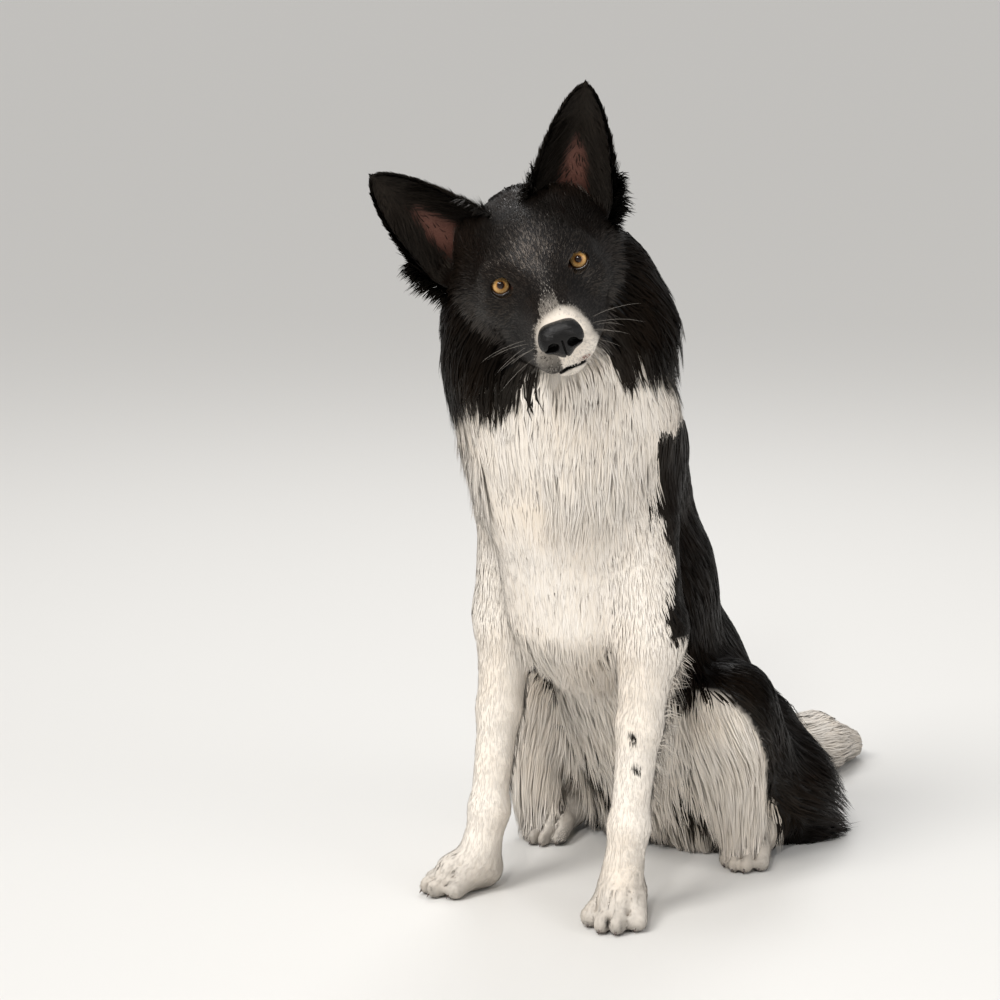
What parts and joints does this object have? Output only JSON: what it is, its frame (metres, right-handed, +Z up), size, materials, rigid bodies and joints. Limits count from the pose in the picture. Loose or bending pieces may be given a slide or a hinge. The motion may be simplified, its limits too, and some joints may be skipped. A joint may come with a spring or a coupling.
{
  "type": "sitting dog model",
  "caption": "Life-size still model of a long-coated black and white sheepdog, sitting upright with pricked ears and its head tilted to one side.",
  "frame": {"origin": "on the floor under the middle of the model's box", "axes": "+Z up, the chest and forefeet face -Y with the tail lying towards +Y, +X towards the dog's left side"},
  "size_m": [0.3088, 0.7944, 0.7732],
  "materials": {
    "white_coat": "long soft white to cream hair",
    "black_coat": "long glossy black hair",
    "nose_leather": "moist pebbled black nose leather",
    "eye": "wet amber iris with a dark rim and pupil"
  },
  "bodies": {
    "root": {"head": "black_coat", "jaw": "white_coat", "nose": "nose_leather", "ear_left": "black_coat", "ear_right": "black_coat", "eye_left": "eye", "eye_right": "eye", "neck": "white_coat", "chest": "white_coat", "belly": "white_coat", "rump": "black_coat", "upper_arm_left": "white_coat", "forearm_left": "white_coat", "front_paw_left": "white_coat", "upper_arm_right": "white_coat", "forearm_right": "white_coat", "front_paw_right": "white_coat", "thigh_left": "black_coat", "lower_leg_left": "white_coat", "hind_paw_left": "white_coat", "thigh_right": "black_coat", "lower_leg_right": "white_coat", "hind_paw_right": "white_coat", "tail_base": "black_coat", "tail_tip": "white_coat"}
  },
  "joints": []
}
